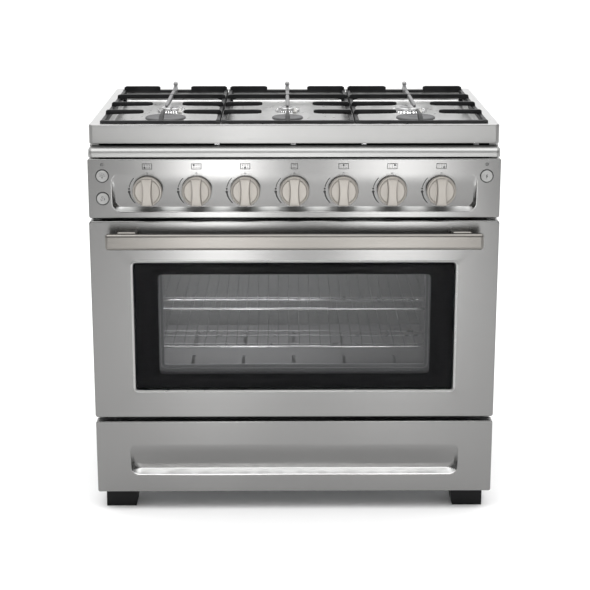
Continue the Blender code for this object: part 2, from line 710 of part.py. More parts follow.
def oven_fittings():
    """Tube burner, slotted floor plate above it and lamp lens."""
    z, x, y, steps = OVEN_Z[0] + 0.016, 0.20, (-0.14, 0.16), 6
    bend = 0.06
    points = [(-x, y[1], z)]
    for k in range(steps + 1):
        angle = math.radians(180 + 90 * k / steps)
        points.append((-x + bend + bend * math.cos(angle), y[0] + bend + bend * math.sin(angle), z))
    for k in range(steps + 1):
        angle = math.radians(270 + 90 * k / steps)
        points.append((x - bend + bend * math.cos(angle), y[0] + bend + bend * math.sin(angle), z))
    points.append((x, y[1], z))
    tube("oven_burner", points, 0.009, "aluminium")
    slots = [rectangle(sx - 0.004, sx + 0.004, sy, sy + 0.12)
             for sx in (-0.24, -0.12, 0.0, 0.12, 0.24) for sy in (-0.16, 0.03)]
    outline = rectangle(-0.325, 0.325, -0.215, 0.215)
    plate("oven_floor", [outline] + slots, 0.002, "enamel", (0, 0, z + 0.014))
    turned("oven_lamp", [(0, 0.022), (0.014, 0.020), (0.026, 0.012), (0.030, 0), (0, 0)], "lens",
           (-0.24, OVEN_BACK - GAP, OVEN_Z[1] - 0.060), (math.radians(90), 0, 0))


# Drawer

def drawer():
    face_back = FRONT_Y + DRAWER_FRONT_DEPTH
    front = fronted("drawer_front", DRAWER_Z, FRONT_Y, face_back, POCKET_X, POCKET_Z, POCKET_DEPTH, 0.020)
    x, y, z = 0.400, (face_back + 0.003, 0.200), (0.060, 0.185)
    rings = [level((-x, x), y, 0.010, z[1]), level((-x, x), y, 0.010, z[0])]
    tray = pressed("drawer_box", rings, "galvanised", thickness=0.0010)
    hang_on("drawer_slide_axis", (0, FRONT_Y, sum(DRAWER_Z) / 2), [front, tray])
    outline = [(0.0, 0.0), (0.030, 0.0), (0.030, 0.030), (0.0285, 0.030), (0.0285, 0.0015), (0.0, 0.0015)]
    for name, side in (("drawer_runner_left", -1), ("drawer_runner_right", 1)):
        flat = [(side * (0.404 + u), v) for u, v in outline]
        plate(name, [flat], 0.44, "galvanised", (0, 0.0, 0.100), (math.radians(90), 0, 0))


def build():
    side_panels()
    back_panel()
    base_pan()
    feet()
    cooktop()
    burners()
    grates()
    trim_strip()
    control_panel()
    knobs()
    buttons()
    gas_manifold()
    door()
    door_hinges()
    oven_liner()
    oven_gasket()
    racks()
    rack_ladders()
    oven_fittings()
    drawer()


build()
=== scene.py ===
import math

import bmesh
import bpy
from mathutils import Matrix, Vector

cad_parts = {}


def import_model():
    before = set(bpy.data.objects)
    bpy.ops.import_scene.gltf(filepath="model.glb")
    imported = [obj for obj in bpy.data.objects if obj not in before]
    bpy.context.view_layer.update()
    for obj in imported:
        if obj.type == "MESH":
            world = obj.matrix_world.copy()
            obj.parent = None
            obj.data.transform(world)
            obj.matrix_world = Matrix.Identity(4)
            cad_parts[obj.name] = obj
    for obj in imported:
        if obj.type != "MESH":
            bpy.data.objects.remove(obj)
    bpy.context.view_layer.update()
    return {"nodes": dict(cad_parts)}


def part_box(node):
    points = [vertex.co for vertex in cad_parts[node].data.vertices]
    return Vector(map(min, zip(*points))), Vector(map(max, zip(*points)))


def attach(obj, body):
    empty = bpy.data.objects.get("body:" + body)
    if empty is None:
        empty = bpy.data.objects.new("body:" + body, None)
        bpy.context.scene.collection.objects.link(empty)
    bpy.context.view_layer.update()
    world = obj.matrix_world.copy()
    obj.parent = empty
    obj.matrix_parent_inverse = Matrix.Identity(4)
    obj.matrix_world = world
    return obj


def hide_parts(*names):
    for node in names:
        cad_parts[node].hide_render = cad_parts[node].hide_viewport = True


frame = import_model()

NODES = frame["nodes"]
RIM_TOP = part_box("cooktop")[1][2]
WELL_FLOOR = RIM_TOP - 0.026
PANEL_LOW, PANEL_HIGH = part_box("control_panel")
OVEN_LIGHT_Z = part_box("oven_liner")[1][2] - 0.055
KNOBS = [name for name in sorted(NODES) if name.startswith("knob_")]
BUTTONS = [name for name in sorted(NODES) if name.startswith("button_")]
GRATES = ("left", "centre", "right")
ROWS = ("front", "rear")
SIDES = ("left", "right")


# Materials

def fill(node, **inputs):
    """Sets a node's inputs; an underscore stands for a space in an input's name."""
    for name, value in inputs.items():
        node.inputs[name.replace("_", " ")].default_value = value
    return node


class Shader:
    """A material with a Principled shader and a few helpers for its nodes."""

    def __init__(self, name, colour, roughness, metallic=0.0, **sockets):
        self.material = bpy.data.materials.new(name)
        self.material.use_nodes = True
        self.tree = self.material.node_tree
        self.shader = self.tree.nodes["Principled BSDF"]
        fill(self.shader, Base_Color=(*colour, 1.0), Roughness=roughness, Metallic=metallic, **sockets)

    def node(self, kind, **inputs):
        return fill(self.tree.nodes.new(kind), **inputs)

    def link(self, source, target):
        self.tree.links.new(source, target)

    def coordinates(self, scale):
        """Object coordinates, stretched so that a pattern has its own scale along each axis."""
        place = self.node("ShaderNodeTexCoord")
        mapping = self.node("ShaderNodeMapping", Scale=scale)
        self.link(place.outputs["Object"], mapping.inputs["Vector"])
        return mapping.outputs["Vector"]

    def noise(self, scale, detail=3.0, stretch=(1, 1, 1), roughness=0.5):
        made = self.node("ShaderNodeTexNoise", Scale=scale, Detail=detail, Roughness=roughness)
        self.link(self.coordinates(stretch), made.inputs["Vector"])
        return made.outputs["Fac"]

    def ramp(self, fac, low, high, start=0.3, end=0.7):
        """Values or colours from low to high, as fac goes from start to end."""
        made = self.node("ShaderNodeValToRGB")
        made.color_ramp.elements[0].position = start
        made.color_ramp.elements[1].position = end
        for element, value in zip(made.color_ramp.elements, (low, high)):
            element.color = (*value, 1.0) if isinstance(value, tuple) else (value, value, value, 1.0)
        self.link(fac, made.inputs["Fac"])
        return made.outputs["Color"]

    def vary(self, fac, colour, low, high):
        """Base colour that goes from low to high times the given colour."""
        shades = self.ramp(fac, shade(colour, low), shade(colour, high))
        self.link(shades, self.shader.inputs["Base Color"])

    def roughness_from(self, output):
        self.link(output, self.shader.inputs["Roughness"])

    def bump(self, height, strength, distance):
        made = self.node("ShaderNodeBump", Strength=strength, Distance=distance)
        self.link(height, made.inputs["Height"])
        self.link(made.outputs["Normal"], self.shader.inputs["Normal"])


def shade(colour, factor):
    return tuple(channel * factor for channel in colour)


def brushed(name, colour, roughness, grain, spread=0.05, anisotropic=0.0):
    """Brushed metal: fine lines along the axis with the smallest grain scale."""
    made = Shader(name, colour, roughness, 1.0, Anisotropic=anisotropic, Anisotropic_Rotation=0.25)
    lines = made.noise(1.0, 4.0, grain, 0.65)
    broad = made.noise(3.0, 2.0)
    made.vary(lines, colour, 1 - spread, 1 + spread)
    mixed = made.node("ShaderNodeMath")
    made.link(lines, mixed.inputs[0])
    made.link(broad, mixed.inputs[1])
    made.roughness_from(made.ramp(mixed.outputs[0], roughness - 0.05, roughness + 0.05, 0.6, 1.4))
    made.bump(lines, 0.07, 0.00004)
    return made.material


def enamel(name, colour, roughness, speckle=0.06):
    made = Shader(name, colour, roughness, 0.0, Coat_Weight=0.3, Coat_Roughness=0.15)
    grain = made.noise(900.0, 2.0)
    made.vary(grain, colour, 1 - speckle, 1 + speckle)
    made.bump(made.noise(160.0, 2.0), 0.08, 0.0002)
    return made.material


def cast_iron(name, base, coat):
    """Matt enamelled iron: grainy, a little worn, and shinier in broad random patches."""
    made = Shader(name, base, 0.42, 0.0, Specular_IOR_Level=0.22, Coat_Weight=coat, Coat_Roughness=0.3)
    broad, fine = made.noise(45.0, 4.0), made.noise(420.0, 3.0)
    made.vary(broad, base, 1, 1.8)
    made.roughness_from(made.ramp(broad, 0.34, 0.52))
    made.bump(fine, 0.30, 0.0005)
    return made.material


def cap_enamel():
    base = (0.085, 0.085, 0.088)
    made = Shader("cap_enamel", base, 0.55, 0.0)
    fine = made.noise(700.0, 3.0)
    made.vary(fine, base, 0.82, 1.2)
    made.bump(fine, 0.18, 0.0003)
    return made.material


def polished(name, colour, roughness, spread=0.03):
    made = Shader(name, colour, roughness, 1.0)
    broad = made.noise(60.0, 3.0)
    made.vary(broad, colour, 1 - spread, 1 + spread)
    made.roughness_from(made.ramp(broad, roughness * 0.8, roughness * 1.3))
    return made.material


def moulded(name, colour, roughness, specular=0.5):
    made = Shader(name, colour, roughness, 0.0, Specular_IOR_Level=specular)
    fine = made.noise(500.0, 2.0)
    made.vary(fine, colour, 0.92, 1.08)
    made.bump(fine, 0.12, 0.0002)
    return made.material


def knob_metal():
    """Warm satin finish with faint vertical brushing."""
    base = (0.295, 0.276, 0.252)
    made = Shader("knob_satin", base, 0.38, 0.35, Specular_IOR_Level=0.4)
    lines = made.noise(1.0, 3.0, (900, 900, 20))
    made.vary(lines, base, 0.96, 1.04)
    made.roughness_from(made.ramp(lines, 0.33, 0.44))
    made.bump(lines, 0.08, 0.00005)
    return made.material


def clear_glass(name, colour, alpha, roughness=0.03):
    made = Shader(name, colour, roughness, 0.0, Alpha=alpha, Specular_IOR_Level=0.15)
    smear = made.noise(6.0, 3.0)
    made.roughness_from(made.ramp(smear, roughness, roughness + 0.03))
    return made.material


def printed_black():
    base = (0.0015, 0.0015, 0.0017)
    made = Shader("glass_border", base, 0.12, 0.0, Specular_IOR_Level=0.02)
    dots = made.noise(1200.0, 1.0)
    made.vary(dots, base, 1, 1.6)
    return made.material


def ink(name, colour):
    made = Shader(name, colour, 0.5)
    made.vary(made.noise(800.0, 2.0), colour, 0.85, 1.15)
    return made.material


FRONT_GRAIN = (3, 60, 1400)
STEEL = brushed("stainless_steel", (0.20, 0.199, 0.196), 0.22, FRONT_GRAIN, 0.035, 0.75)
STEEL_SIDE = brushed("stainless_side", (0.46, 0.46, 0.455), 0.34, (60, 3, 1400), 0.05)
STEEL_TOP = brushed("cooktop_steel", (0.262, 0.261, 0.257), 0.36, (4, 1400, 1400), 0.03, 0.5)
# Lighter copy of the cooktop steel for the rim's top and the well: painted highlight where these faces look up
# to the light.
WELL_HIGHLIGHT_STEEL = polished("well_steel_painted_highlight", (0.62, 0.62, 0.615), 0.33, 0.015)
# Lighter copies of the front steel for the pocket ledges: painted highlights where the ledges face up to the
# light.
PANEL_SHELF_HIGHLIGHT = polished("panel_shelf_painted_highlight", (0.44, 0.44, 0.435), 0.42, 0.01)
DRAWER_SHELF_HIGHLIGHT = polished("drawer_shelf_painted_highlight", (0.95, 0.95, 0.945), 0.42, 0.01)
BEAD = polished("bead_steel", (0.34, 0.34, 0.335), 0.32)
TRIM = brushed("trim_steel", (0.32, 0.32, 0.315), 0.40, (4, 1400, 1400), 0.03, 0.3)
HANDLE = brushed("handle_steel", (0.182, 0.174, 0.162), 0.28, (4, 1200, 1200), 0.03, 0.6)
IRON = cast_iron("cast_iron", (0.008, 0.008, 0.0085), 0.05)
# Lighter, glossier copy of the iron for the middle fingers and the stop bar: a painted highlight along their
# tops.
FINGER_IRON_HIGHLIGHT = cast_iron("finger_iron_painted_highlight", (0.075, 0.075, 0.077), 0.5)
CAP = cap_enamel()
CAP_BRIGHT = polished("cap_bright", (0.62, 0.62, 0.62), 0.28)
# Light grey for the dome on each rear post: a painted highlight on the post's tip.
PAN_STOP_HIGHLIGHT = moulded("pan_stop_painted_highlight", (0.40, 0.40, 0.40), 0.30)
ALUMINIUM = polished("burner_aluminium", (0.80, 0.80, 0.80), 0.16)
CHROME = polished("chrome_wire", (0.82, 0.82, 0.83), 0.12)
# Darker copies of the rack chrome for the rack's bars and cross wires: painted shade inside the oven.
RACK_BAR_SHADE = polished("rack_bar_painted_shade", (0.13, 0.13, 0.135), 0.45)
RACK_CROSS_SHADE = polished("rack_cross_painted_shade", (0.34, 0.34, 0.35), 0.30)
# Lighter grey for the inner edge of the window spacer: a painted highlight along that edge.
SPACER_RIM_HIGHLIGHT = polished("spacer_rim_painted_highlight", (0.30, 0.30, 0.31), 0.35)
BRASS = polished("brass", (0.72, 0.53, 0.25), 0.30)
ZINC = enamel("galvanised_steel", (0.42, 0.43, 0.44), 0.42, 0.12)
OVEN = enamel("oven_enamel", (0.23, 0.23, 0.235), 0.38)
BLACK = moulded("foot_black", (0.004, 0.004, 0.0045), 0.45, 0.15)
SEAL = moulded("gasket_black", (0.04, 0.04, 0.04), 0.85)
KNOB = knob_metal()
GLASS = clear_glass("door_glass", (0.012, 0.012, 0.013), 0.15)
INNER_GLASS = clear_glass("inner_glass", (0.55, 0.56, 0.56), 0.10)
LAMP = clear_glass("lamp_glass", (0.9, 0.9, 0.86), 0.7, 0.25)
BORDER = printed_black()
SPACER = moulded("spacer_grey", (0.10, 0.102, 0.105), 0.5)
INK = ink("mark_black", (0.008, 0.008, 0.008))
BUTTON = moulded("button_grey", (0.33, 0.33, 0.325), 0.42, 0.4)
CERAMIC = moulded("ceramic_white", (0.75, 0.74, 0.71), 0.35)


# Pieces

def add(name, data, material, body, replaces=()):
    """A piece in its place, with its material, riding on a body."""
    obj = bpy.data.objects.new(name, data)
    bpy.context.scene.collection.objects.link(obj)
    data.materials.append(material)
    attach(obj, body)
    if replaces:
        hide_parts(*replaces)
    return obj


def mesh_from(bm, name, smooth=True):
    mesh = bpy.data.meshes.new(name)
    bm.to_mesh(mesh)
    bm.free()
    if smooth:
        mesh.shade_smooth()
    return mesh


def weighted(obj):
    """Keeps wide flat faces flat to the eye beside their rounded edges."""
    made = obj.modifiers.new("normals", "WEIGHTED_NORMAL")
    made.keep_sharp = True
    made.weight = 90
    return obj


def bevelled(obj, width, segments=3, angle=35):
    """Rounds the edges that turn by more than the angle."""
    made = obj.modifiers.new("bevel", "BEVEL")
    made.width = width
    made.segments = segments
    made.limit_method = "ANGLE"
    made.angle_limit = math.radians(angle)
    made.harden_normals = True
    return obj


def ring(u, v, radius, steps=8, sides=0):
    """Rounded rectangle over the spans u and v, anticlockwise, with extra points up its sides."""
    centres = ((u[1] - radius, v[1] - radius), (u[0] + radius, v[1] - radius),
               (u[0] + radius, v[0] + radius), (u[1] - radius, v[0] + radius))
    points = []
    for quarter, (cu, cv) in enumerate(centres):
        for step in range(steps + 1):
            angle = math.radians(90 * (quarter + step / steps))
            points.append((cu + radius * math.cos(angle), cv + radius * math.sin(angle)))
        if quarter in (1, 3):
            downwards = quarter == 1
            for k in range(1, sides):
                share = 1 - k / sides if downwards else k / sides
                points.append((u[0] if downwards else u[1], v[0] + radius + (v[1] - v[0] - 2 * radius) * share))
    return points


def upright(half, z, radius, y, sides=0):
    """Upright ring facing the front; y is its depth, or a function that gives the depth at a height."""
    depth = y if callable(y) else (lambda height: y)
    return [(u, depth(v), v) for u, v in ring((-half, half), z, radius, 8, sides)]


def level(x, y, radius, z):
    """Level ring at the height z."""
    return [(u, v, z) for u, v in ring(x, y, radius)]


def grow(span, amount):
    return (span[0] - amount, span[1] + amount)


def pressed(name, rings, closed=True, bright=lambda band, height: False):
    """Sheet lofted through the rings; faces where bright(band, height) holds take the second material."""
    bm = bmesh.new()
    loops = [[bm.verts.new(point) for point in loop] for loop in rings]
    for band, (outer, inner) in enumerate(zip(loops, loops[1:])):
        for i in range(len(outer)):
            k = (i + 1) % len(outer)
            face = bm.faces.new((outer[i], outer[k], inner[k], inner[i]))
            face.material_index = int(bright(band, face.calc_center_median().z))
    if closed:
        close_in_rows(bm, loops[-1], int(bright(len(rings) - 1, loops[-1][0].co.z)))
    return mesh_from(bm, name)


def close_in_rows(bm, loop, material_index):
    """Fills a ring that is the same left and right with one long face for each pair of points."""
    heights = [v.co.z for v in loop]
    across = 1 if max(heights) - min(heights) < 0.001 else 2
    right = sorted((v for v in loop if v.co.x > 0), key=lambda v: -v.co[across])
    left = sorted((v for v in loop if v.co.x < 0), key=lambda v: -v.co[across])
    for i in range(len(right) - 1):
        if (right[i].co - right[i + 1].co).length > 1e-6:
            face = bm.faces.new((right[i], left[i], left[i + 1], right[i + 1]))
            face.material_index = material_index


def thickened(obj, thickness):
    """Gives a surface a thickness behind it, and returns the modifier."""
    solid = obj.modifiers.new("sheet", "SOLIDIFY")
    solid.thickness = thickness
    solid.offset = -1
    return solid


def sheet_piece(name, rings, material, body, replaces, closed=True, thickness=0.0012,
                bright=lambda band, height: False, second=None):
    """Pressed sheet with a thickness; its bright faces take the second material."""
    obj = add(name, pressed(name, rings, closed, bright), material, body, replaces)
    if second:
        obj.data.materials.append(second)
    thickened(obj, thickness).use_even_offset = True
    return weighted(obj)


def rounding(radius, steps=4):
    """(inset, drop) pairs round a quarter circle, from the side wall to the flat face."""
    return [(radius * (1 - math.cos(math.radians(90 * k / steps))),
             radius * (1 - math.sin(math.radians(90 * k / steps)))) for k in range(steps + 1)]


def lathe(name, profile, steps=64):
    """Solid of revolution about Z; the profile is (radius, height) from the top down."""
    bm = bmesh.new()
    turns = [2 * math.pi * k / steps for k in range(steps)]
    rows = []
    for radius, height in profile:
        if radius == 0:
            rows.append([bm.verts.new((0, 0, height))])
        else:
            rows.append([bm.verts.new((radius * math.cos(turn), radius * math.sin(turn), height))
                         for turn in turns])
    for upper, lower in zip(rows, rows[1:]):
        for k in range(steps):
            n = (k + 1) % steps
            if len(upper) == 1:
                bm.faces.new((upper[0], lower[k], lower[n]))
            elif len(lower) == 1:
                bm.faces.new((upper[n], upper[k], lower[0]))
            else:
                bm.faces.new((upper[k], lower[k], lower[n], upper[n]))
    return mesh_from(bm, name)


def bridge(bm, rows):
    """Faces between each closed row of points and the next, and one at either end."""
    for upper, lower in zip(rows, rows[1:]):
        for k in range(len(upper)):
            n = (k + 1) % len(upper)
            bm.faces.new((upper[k], lower[k], lower[n], upper[n]))
    bm.faces.new(rows[0])
    bm.faces.new(list(reversed(rows[-1])))


def placed(mesh, location, facing_front=False):
    """Moves a mesh made round Z to its place, turned to face the front if asked."""
    turn = Matrix.Rotation(math.radians(90), 4, "X") if facing_front else Matrix.Identity(4)
    mesh.transform(Matrix.Translation(Vector(location)) @ turn)
    return mesh


def sharpen(mesh, angle=40):
    mesh.set_sharp_from_angle(angle=math.radians(angle))
    return mesh


def boxes(name, spans):
    bm = bmesh.new()
    for low, high in spans:
        made = bmesh.ops.create_cube(bm, size=1.0)["verts"]
        bmesh.ops.scale(bm, vec=[b - a for a, b in zip(low, high)], verts=made)
        bmesh.ops.translate(bm, vec=[(a + b) / 2 for a, b in zip(low, high)], verts=made)
    return mesh_from(bm, name)


def wires(name, paths, radius, material, body, replaces=(), resolution=4):
    """One curve object of round wires, each a list of points."""
    curve = bpy.data.curves.new(name, "CURVE")
    curve.dimensions = "3D"
    curve.bevel_depth = radius
    curve.bevel_resolution = resolution
    curve.use_fill_caps = True
    for points, closed in paths:
        spline = curve.splines.new("POLY")
        spline.points.add(len(points) - 1)
        for point, place in zip(spline.points, points):
            point.co = (*place, 1)
        spline.use_cyclic_u = closed
    return add(name, curve, material, body, replaces)


# Cooktop

def cooktop():
    """Pressed top: hemmed lower edge, rounded rim, and a well with rolled edges."""
    (x0, y0, z0), (x1, y1, z1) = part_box("cooktop")
    border_x, border_front, border_rear = 0.022, 0.013, 0.040
    hem, hem_corner, corner, roll, roll_out = 0.0012, 0.008, 0.009, 0.006, 0.002
    well_corner, floor_corner, corner_change, rim_bands = 0.018, 0.015, 0.004, 5
    rings = [level((x0 + hem, x1 - hem), (y0 + hem, y1 - hem), hem_corner, z0),
             level((x0, x1), (y0, y1), corner, z0 + hem)]
    for inset, drop in rounding(0.0035):
        rings.append(level((x0 + inset, x1 - inset), (y0 + inset, y1 - inset), corner - inset, z1 - drop))
    well_x, well_y = (x0 + border_x, x1 - border_x), (y0 + border_front, y1 - border_rear)
    quarter = [math.radians(angle) for angle in range(0, 91, 18)]
    for angle in quarter:
        out, tight = roll_out - roll * math.sin(angle), well_corner - corner_change * math.sin(angle)
        rings.append(level(grow(well_x, out), grow(well_y, out), tight, z1 - roll * (1 - math.cos(angle))))
    for angle in quarter:
        inset = roll + roll * (1 - math.cos(angle))
        rings.append(level(grow(well_x, -inset), grow(well_y, -inset), floor_corner,
                           WELL_FLOOR + roll * (1 - math.sin(angle))))
    # The rim's top and the well take the lighter copy of the steel as a painted highlight; the skirt and most
    # of its rounding keep the plain steel.
    sheet_piece("cooktop_shell", rings, STEEL_TOP, "range", ["cooktop"], thickness=0.0014,
                bright=lambda band, height: band >= rim_bands, second=WELL_HIGHLIGHT_STEEL)
    clips(y0, z0)


def clips(rim_front, rim_low):
    """Small spring clips in the gap under the rim."""
    half, y, z = 0.006, (rim_front + 0.006, rim_front + 0.012), (rim_low - 0.0042, rim_low - 0.0006)
    spans = [((x - half, y[0], z[0]), (x + half, y[1], z[1])) for x in (-0.169, -0.002, 0.153, 0.399)]
    bevelled(add("rim_clips", boxes("clips", spans), CHROME, "range"), 0.0008, 2)


def burners():
    seat = 0.0004
    for row in ROWS:
        for column in GRATES:
            low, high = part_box(f"burner_cap_{row}_{column}")
            x, y, radius = (low[0] + high[0]) / 2, (low[1] + high[1]) / 2, (high[0] - low[0]) / 2
            material = CAP if row == "front" else CAP_BRIGHT
            burner_cap(f"{row}_{column}", x, y, radius, (low[2], high[2]), material)
            burner_head(f"{row}_{column}", x, y, radius, low[2] - seat)
            igniter(f"{row}_{column}", x, y, radius, low[2])


def burner_cap(name, x, y, radius, z, material):
    """Disc with a fine groove round its middle and a rounded rim."""
    low, top = z
    edge, fall, groove = 0.0035, 0.0030, 0.0004
    profile = [(0, top), (radius * 0.42, top), (radius * 0.44, top - groove), (radius * 0.46, top),
               (radius - edge, top)]
    for angle in range(15, 91, 15):
        turn = math.radians(angle)
        profile.append((radius - edge + edge * math.sin(turn), top - fall * (1 - math.cos(turn))))
    profile += [(radius, low + 0.0008), (radius - 0.001, low), (0, low)]
    add(f"cap_{name}", placed(lathe("cap", profile), (x, y, 0)), material, "range",
        [f"burner_cap_{name}"])


def burner_head(name, x, y, radius, top):
    """Polished casting: a ring of flame ports over a flared dish."""
    ports, steps_each, port_depth, port_low = 36, 4, 0.0016, top - 0.0042
    floor, neck = WELL_FLOOR + 0.0006, radius * 0.90
    profile = [(neck, top), (neck, top - 0.0035), (neck + 0.0004, top - 0.0050), (neck * 0.97, top - 0.0070),
               (neck * 0.96, floor + 0.0050), (neck * 1.02, floor + 0.0036), (radius * 1.17, floor + 0.0030),
               (radius * 1.22, floor + 0.0042), (radius * 1.27, floor + 0.0038), (radius * 1.31, floor)]
    bm = bmesh.new()
    rows = []
    for distance, height in profile:
        row = []
        for k in range(ports * steps_each):
            reach = distance - (port_depth if k % steps_each < 2 and height > port_low else 0.0)
            angle = 2 * math.pi * k / (ports * steps_each)
            row.append(bm.verts.new((reach * math.cos(angle), reach * math.sin(angle), height)))
        rows.append(row)
    bridge(bm, rows)
    mesh = placed(sharpen(mesh_from(bm, "head"), 35), (x, y, 0))
    add(f"head_{name}", mesh, ALUMINIUM, "range", [f"burner_head_{name}"])


def igniter(name, x, y, radius, top):
    """Spark electrode: a white ceramic sleeve with a steel tip."""
    floor, away, angle = WELL_FLOOR + 0.001, 0.008, math.radians(-52)
    place = (x + (radius + away) * math.cos(angle), y + (radius + away) * math.sin(angle), 0)
    sleeve = [(0, floor + 0.0095), (0.0022, floor + 0.0095), (0.0026, floor + 0.009),
              (0.0034, floor + 0.004), (0.0044, floor + 0.003), (0.0044, floor), (0, floor)]
    add(f"igniter_{name}", placed(sharpen(lathe("igniter", sleeve, 24)), place), CERAMIC, "range")
    tip = [(0, top + 0.0005), (0.0008, top), (0.0008, floor + 0.009), (0, floor + 0.009)]
    add(f"igniter_tip_{name}", placed(lathe("tip", tip, 12), place), CHROME, "range")


def beam(bm, start, end, width, profile):
    """A cast bar from start to end: profile gives (share of length, bottom, top, width factor)."""
    start, end = Vector(start), Vector(end)
    along = end - start
    side = Vector((-along.y, along.x, 0)).normalized() * (width / 2)
    sections = []
    for share, bottom, top, factor in profile:
        centre = start + along * share
        half = side * factor
        crown = half * 0.72
        sections.append([bm.verts.new((centre.x + s.x, centre.y + s.y, z)) for s, z in (
            (half * 0.86, bottom), (half, (bottom + top) / 2), (crown, top), (-crown, top),
            (-half, (bottom + top) / 2), (-half * 0.86, bottom))])
    bridge(bm, sections)


GRATE_BAR = 0.010
FRONT_FINGER, REAR_FINGER, CROSS_BAR = 0.119, 0.241, 0.367
TIP_FRONT, TIP_MIDDLE, TIP_REAR = 0.140, 0.200, 0.442
FINGER_GAPS = {"left": (0.090, 0.069, 0.077), "centre": (0.117, 0.117, 0.100),
               "right": (0.096, 0.078, 0.093)}


def bar_shapes(post_top):
    """Side shapes of the cast bars: (share of the length, bottom, top, width factor)."""
    low, rail, top = RIM_TOP - 0.001, RIM_TOP + 0.006, RIM_TOP + 0.015
    under, web, sill, foot = top - 0.0085, RIM_TOP - 0.011, RIM_TOP, WELL_FLOOR + 0.0008
    shapes = {}
    shapes["frame"] = ((0, low, rail, 1), (1, low, rail, 1))
    sags = ((0.04, 0), (0.10, -0.003), (0.20, 0.004), (0.45, 0.005), (0.55, -0.002), (0.62, 0.004),
            (0.85, 0.005), (0.93, -0.003))
    shapes["web"] = ((0, low, low, 0.8), *((share, web + rise, sill, 0.8) for share, rise in sags),
                     (1, low, low, 0.8))
    shapes["side_finger"] = (
        (0, low, rail, 1.2), (0.012, low, top - 0.002, 1.2), (0.05, low + 0.001, top, 1.0),
        (0.12, under - 0.001, top, 1.0), (0.88, under, top, 0.95), (0.97, under + 0.001, top - 0.0006, 0.9),
        (1.0, under + 0.002, top - 0.002, 0.8))
    shapes["cross_bar"] = (
        (0, low, rail, 1.2), (0.006, low, top - 0.002, 1.2), (0.03, low + 0.001, top, 1),
        (0.08, under - 0.001, top, 1), (0.92, under - 0.001, top, 1), (0.97, low + 0.001, top, 1),
        (0.994, low, top - 0.002, 1.2), (1, low, rail, 1.2))
    shapes["rear_plate"] = ((0, low, top - 0.003, 1), (0.06, low, top, 1), (0.94, low, top, 1),
                            (1, low, top - 0.002, 1))
    shapes["front_finger"] = (
        (0, low, rail, 1.1), (0.10, low, top - 0.006, 1.1), (0.22, low + 0.001, top - 0.002, 1.05),
        (0.45, under - 0.002, top, 0.95), (0.75, under, top, 0.55), (0.94, under + 0.001, top, 0.32),
        (1.0, under + 0.002, top - 0.001, 0.28))
    shapes["arm"] = ((0, under - 0.002, top, 1), (0.50, under - 0.001, top, 0.95), (0.88, under, top, 0.85),
                     (1.0, under + 0.001, top - 0.002, 0.6))
    shapes["stop"] = ((0, under, top - 0.002, 0.6), (0.25, low + 0.004, top, 0.95),
                      (0.60, low, top + 0.001, 1.1), (0.80, low, post_top - 0.008, 1.1),
                      (1.0, low, post_top - 0.008, 1.1))
    shapes["leg"] = ((0, foot, rail - 0.002, 1), (1, foot, rail - 0.002, 1))
    return shapes


def grate(column):
    """Cast grate: low frame, full cross bar, tapered fingers, legs and a rear pan stop."""
    node = f"grate_{column}"
    (x0, y0, _), (x1, y1, post_top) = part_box(node)
    shapes = bar_shapes(post_top)
    half, middle, rim_front = GRATE_BAR / 2, (x0 + x1) / 2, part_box("cooktop")[0][1]
    front_gap, rear_gap, plate_gap = FINGER_GAPS[column]
    frame_mesh, finger_mesh = bmesh.new(), bmesh.new()

    def bar(bm, start, end, shape, width=GRATE_BAR):
        beam(bm, (*start, 0), (*end, 0), width, shapes[shape])

    for x in (x0 + half, x1 - half):
        bar(frame_mesh, (x, y0), (x, y1), "frame")
        bar(frame_mesh, (x, y0 + 0.004), (x, y1 - 0.004), "web")
    for y in (y0 + half, y1 - half):
        bar(frame_mesh, (x0, y), (x1, y), "frame")
    for back, gap in ((FRONT_FINGER, front_gap), (REAR_FINGER, rear_gap)):
        y = rim_front + back
        bar(frame_mesh, (x0 + 0.001, y), (middle - gap / 2, y), "side_finger")
        bar(frame_mesh, (x1 - 0.001, y), (middle + gap / 2, y), "side_finger")
    cross_y = rim_front + CROSS_BAR
    bar(frame_mesh, (x0 + 0.001, cross_y), (x1 - 0.001, cross_y), "cross_bar")
    for inner, outer in ((middle - plate_gap / 2, x0 + 0.003), (middle + plate_gap / 2, x1 - 0.003)):
        bar(frame_mesh, (outer, y1 - half), (inner, y1 - half), "rear_plate")
    bar(frame_mesh, (middle, y0 + 0.002), (middle, rim_front + TIP_FRONT), "front_finger")
    bar(finger_mesh, (middle, cross_y - half), (middle, rim_front + TIP_MIDDLE), "arm")
    bar(finger_mesh, (middle, cross_y + half), (middle, rim_front + TIP_REAR), "arm")
    bar(finger_mesh, (middle, y1 - 0.060), (middle, y1), "stop")
    # The middle fingers and the stop take the lighter iron as a painted highlight along their tops.
    iron_piece(f"fingers_{column}", finger_mesh, FINGER_IRON_HIGHLIGHT, node)
    pan_stop(column, middle, y1, post_top, node)
    leg_in, leg_half = (0.007, 0.028), 0.006
    for x in (x0 + leg_in[0], x1 - leg_in[0]):
        for y in (y0 + leg_in[1], y1 - leg_in[1]):
            bar(frame_mesh, (x, y - leg_half), (x, y + leg_half), "leg", 0.008)
    iron_piece(f"iron_{column}", frame_mesh, IRON, node, [node])


def iron_piece(name, bm, material, node, replaces=()):
    bmesh.ops.recalc_face_normals(bm, faces=bm.faces)
    obj = add(name, mesh_from(bm, name), material, node, replaces)
    return weighted(bevelled(obj, 0.0016, 3, 25))


def pan_stop(column, x, rear, top, node):
    """Rounded tip on the rear post; its light grey is a painted highlight."""
    radius, rise, height, inset = 0.0056, 0.0045, 0.009, 0.0060
    profile = [(0, top)]
    for angle in range(15, 91, 15):
        turn = math.radians(angle)
        profile.append((radius * math.sin(turn), top - rise * (1 - math.cos(turn))))
    profile += [(0.0054, top - height), (0, top - height)]
    dome = placed(lathe("dome", profile, 32), (x, rear - inset, 0))
    add(f"pan_stop_{column}", dome, PAN_STOP_HIGHLIGHT, node)


# Front

